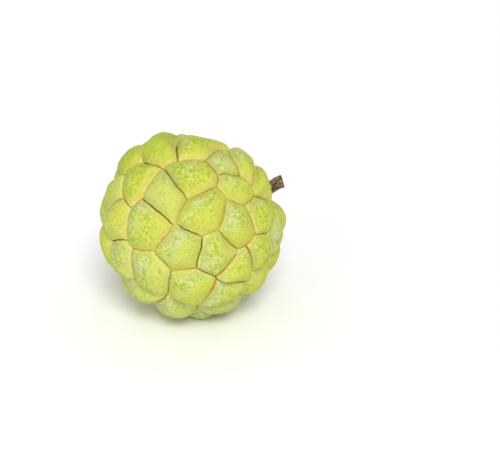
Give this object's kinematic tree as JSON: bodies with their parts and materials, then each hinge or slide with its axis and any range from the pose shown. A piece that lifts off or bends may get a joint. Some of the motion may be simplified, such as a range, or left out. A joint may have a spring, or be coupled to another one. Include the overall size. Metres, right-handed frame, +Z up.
{
  "type": "custard apple",
  "caption": "Whole custard apple lying on its side: a round fruit covered in raised rounded knobs, with a short cut stub of its woody stalk.",
  "frame": {"origin": "on the ground, under the middle of the whole part's box", "axes": "+Z up, -Y towards the viewer of the fruit's front, +X to the right, where the stalk end points"},
  "size_m": [0.0812, 0.0816, 0.0816],
  "materials": {
    "fruit_skin": "matt yellow-green skin with a powdery bloom, yellower towards the grooves between the knobs",
    "stalk_bark": "rough dark brown bark with a paler cut end"
  },
  "bodies": {
    "root": {"fruit": "fruit_skin", "stalk": "stalk_bark"}
  },
  "joints": []
}
